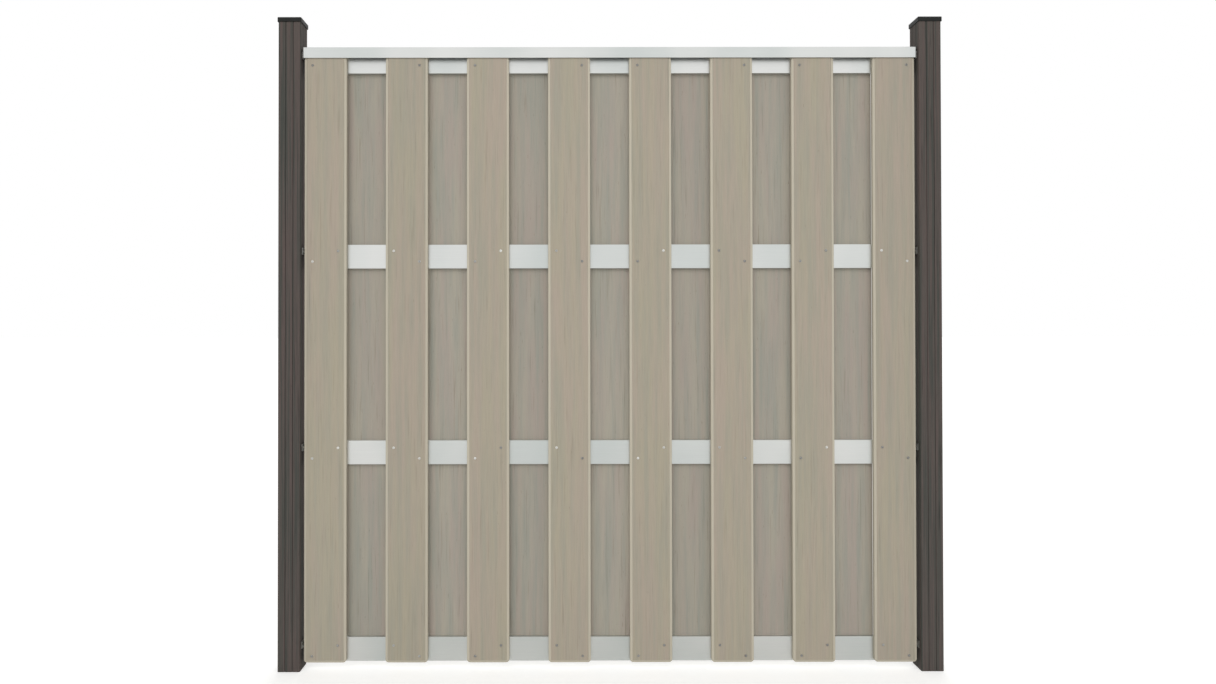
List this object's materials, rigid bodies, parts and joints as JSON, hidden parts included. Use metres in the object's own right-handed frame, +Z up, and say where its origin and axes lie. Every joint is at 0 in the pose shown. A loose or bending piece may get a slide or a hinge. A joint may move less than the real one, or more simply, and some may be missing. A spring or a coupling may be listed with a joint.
{
  "type": "garden privacy screen",
  "caption": "Garden privacy screen of upright composite boards staggered on both sides of aluminium rails, under a cover profile, between two grooved capped posts.",
  "frame": {"origin": "on the ground line, midway between the two posts and midway through their depth", "axes": "+X along the screen to the right as seen from its front, +Y from the front to the back, +Z up"},
  "size_m": [1.941, 0.07, 1.91],
  "materials": {
    "front_board_composite": "matte",
    "back_board_composite": "matte",
    "post_composite": "matte",
    "cap_plastic": "satin",
    "rail_aluminium": "satin",
    "bracket_steel": "satin",
    "galvanised_steel": "matte",
    "screw_steel": "satin"
  },
  "bodies": {
    "root": {"front_board_1": "front_board_composite", "front_board_2": "front_board_composite", "front_board_3": "front_board_composite", "front_board_4": "front_board_composite", "front_board_5": "front_board_composite", "front_board_6": "front_board_composite", "front_board_7": "front_board_composite", "front_board_8": "front_board_composite", "back_board_1": "back_board_composite", "back_board_2": "back_board_composite", "back_board_3": "back_board_composite", "back_board_4": "back_board_composite", "back_board_5": "back_board_composite", "back_board_6": "back_board_composite", "back_board_7": "back_board_composite", "bottom_rail": "rail_aluminium", "lower_rail": "rail_aluminium", "upper_rail": "rail_aluminium", "top_rail": "rail_aluminium", "cover_profile": "rail_aluminium", "front_screws_bottom_rail": "screw_steel", "back_screws_bottom_rail": "screw_steel", "front_screws_lower_rail": "screw_steel", "back_screws_lower_rail": "screw_steel", "front_screws_upper_rail": "screw_steel", "back_screws_upper_rail": "screw_steel", "front_screws_top_rail": "screw_steel", "back_screws_top_rail": "screw_steel", "cover_screws": "screw_steel", "post_sleeve_left": "post_composite", "post_core_left": "galvanised_steel", "post_cap_left": "cap_plastic", "bracket_bottom_rail_left": "bracket_steel", "bracket_lower_rail_left": "bracket_steel", "bracket_upper_rail_left": "bracket_steel", "bracket_top_rail_left": "bracket_steel", "bracket_rail_screws_left": "screw_steel", "bracket_post_screws_left": "screw_steel", "post_sleeve_right": "post_composite", "post_core_right": "galvanised_steel", "post_cap_right": "cap_plastic", "bracket_bottom_rail_right": "bracket_steel", "bracket_lower_rail_right": "bracket_steel", "bracket_upper_rail_right": "bracket_steel", "bracket_top_rail_right": "bracket_steel", "bracket_rail_screws_right": "screw_steel", "bracket_post_screws_right": "screw_steel"}
  },
  "joints": []
}
